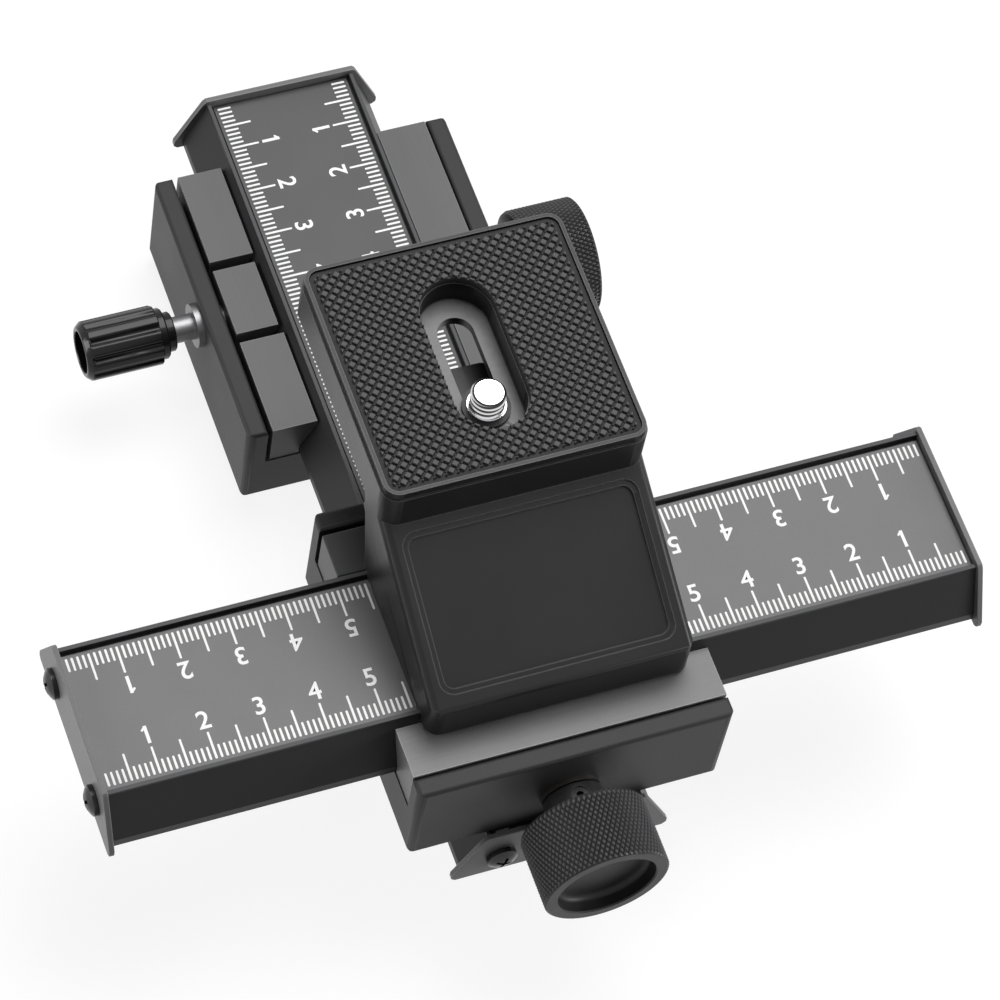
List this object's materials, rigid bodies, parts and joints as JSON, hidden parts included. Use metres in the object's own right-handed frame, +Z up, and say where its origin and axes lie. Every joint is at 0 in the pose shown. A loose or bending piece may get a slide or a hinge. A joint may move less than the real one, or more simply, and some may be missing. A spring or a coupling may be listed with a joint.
{
  "type": "macro focusing rail",
  "caption": "Two-axis focusing slide: crossed dovetail rails with rack-and-pinion knobs, locks, millimetre scales and a raised, rubber-topped camera platform.",
  "frame": {"origin": "middle of the base block's flat underside, which seats on a tripod head", "axes": "+Z up towards the camera, +Y back along the lower rail, +X right along the upper rail, seen from the upper drive knob"},
  "size_m": [0.1658, 0.1813, 0.0797],
  "materials": {
    "body_black": "extruded and milled, black anodised, fine matt",
    "guide_black": "milled, dark anodised, satin",
    "plate_black": "stamped sheet, dark anodised, satin",
    "casting_black": "die casting, satin black paint",
    "knob_black": "turned, diamond knurled, black anodised",
    "lock_black": "moulded, fluted, gloss black",
    "scale_grey": "printed film, dark grey with white millimetre marks",
    "scale_light": "printed film, grey with white millimetre marks",
    "rack_steel": "hobbed steel, oiled",
    "bright_steel": "turned, bright nickel plate",
    "socket_steel": "zinc-plated steel",
    "screw_black": "black oxide steel",
    "bush_brass": "turned brass",
    "bush_plastic": "black acetal",
    "pad_rubber": "moulded rubber with small square studs"
  },
  "bodies": {
    "base": {"base_block": "body_black", "base_fixed_guide": "guide_black", "base_rear_guide": "guide_black", "base_front_guide": "guide_black", "base_guide_screws": "socket_steel", "base_lock_boss": "bright_steel", "base_pinion_bush": "bush_brass", "quarter_bush": "socket_steel", "three_eighths_bush": "socket_steel"},
    "base_drive": {"base_pinion_shaft": "bright_steel", "base_drive_knob": "knob_black", "base_knob_grub": "socket_steel"},
    "base_brake": {"base_brake_shoe": "guide_black"},
    "base_lock": {"base_lock_screw": "bright_steel", "base_lock_knob": "lock_black"},
    "lower_carriage": {"lower_rail": "body_black", "lower_rack": "rack_steel", "lower_scale": "scale_grey", "lower_front_plate": "plate_black", "lower_back_plate": "plate_black", "lower_plate_screws": "screw_black", "upper_block": "body_black", "upper_block_bolts": "socket_steel", "upper_fixed_guide": "guide_black", "upper_right_guide": "guide_black", "upper_left_guide": "guide_black", "upper_guide_screws": "socket_steel", "upper_lock_boss": "bright_steel", "upper_pinion_bush": "bush_brass"},
    "upper_drive": {"upper_pinion_shaft": "bright_steel", "upper_drive_knob": "knob_black", "upper_knob_grub": "socket_steel"},
    "upper_brake": {"upper_brake_shoe": "guide_black"},
    "upper_lock": {"upper_lock_screw": "bright_steel", "upper_lock_knob": "lock_black"},
    "upper_carriage": {"upper_rail": "body_black", "upper_rack": "rack_steel", "upper_scale": "scale_light", "upper_left_plate": "plate_black", "upper_right_plate": "plate_black", "upper_plate_screws": "screw_black", "platform_casting": "casting_black", "platform_bolts": "socket_steel", "platform_pad": "pad_rubber"},
    "screw_slide": {"camera_bush": "bush_plastic"},
    "screw_lift": {"camera_clip": "bright_steel"},
    "camera_screw": {"camera_thumb_screw": "bright_steel"}
  },
  "joints": [
    {"name": "lower_slide", "type": "slide", "parent": "base", "child": "lower_carriage", "axis": [0, 1, 0], "range_m": [-0.0124, 0.089]},
    {"name": "base_knob_turn", "type": "hinge", "parent": "base", "child": "base_drive", "pos_m": [0, 0, 0.0082], "axis": [1, 0, 0], "range_deg": [-1280, 180]},
    {"name": "base_lock_turn", "type": "hinge", "parent": "base_brake", "child": "base_lock", "pos_m": [-0.0245, 0, 0.0159], "axis": [1, 0, 0], "range_deg": [0, 180]},
    {"name": "base_brake_press", "type": "slide", "parent": "base", "child": "base_brake", "axis": [1, 0, 0], "range_m": [0, 0.0004]},
    {"name": "upper_slide", "type": "slide", "parent": "lower_carriage", "child": "upper_carriage", "axis": [1, 0, 0], "range_m": [-0.0507, 0.0507]},
    {"name": "upper_knob_turn", "type": "hinge", "parent": "lower_carriage", "child": "upper_drive", "pos_m": [0, -0.0886, 0.0319], "axis": [0, 1, 0], "range_deg": [-730, 730]},
    {"name": "upper_lock_turn", "type": "hinge", "parent": "upper_brake", "child": "upper_lock", "pos_m": [0, -0.0641, 0.0396], "axis": [0, -1, 0], "range_deg": [0, 180]},
    {"name": "upper_brake_press", "type": "slide", "parent": "lower_carriage", "child": "upper_brake", "axis": [0, -1, 0], "range_m": [0, 0.0004]},
    {"name": "screw_slide", "type": "slide", "parent": "upper_carriage", "child": "screw_slide", "axis": [0, 1, 0], "range_m": [0, 0.0156]},
    {"name": "screw_lift", "type": "slide", "parent": "screw_slide", "child": "screw_lift", "axis": [0, 0, 1], "range_m": [0, 0.0053]},
    {"name": "camera_screw_turn", "type": "hinge", "parent": "screw_lift", "child": "camera_screw", "pos_m": [0, -0.0609, 0.0729], "axis": [0, 0, 1], "continuous": true}
  ],
  "couplings": [
    {"joint": "base_knob_turn", "follows": "lower_slide", "rad_per_m": -250},
    {"joint": "upper_knob_turn", "follows": "upper_slide", "rad_per_m": 250},
    {"joint": "base_lock_turn", "follows": "base_brake_press", "rad_per_m": 7850},
    {"joint": "upper_lock_turn", "follows": "upper_brake_press", "rad_per_m": 7850}
  ]
}
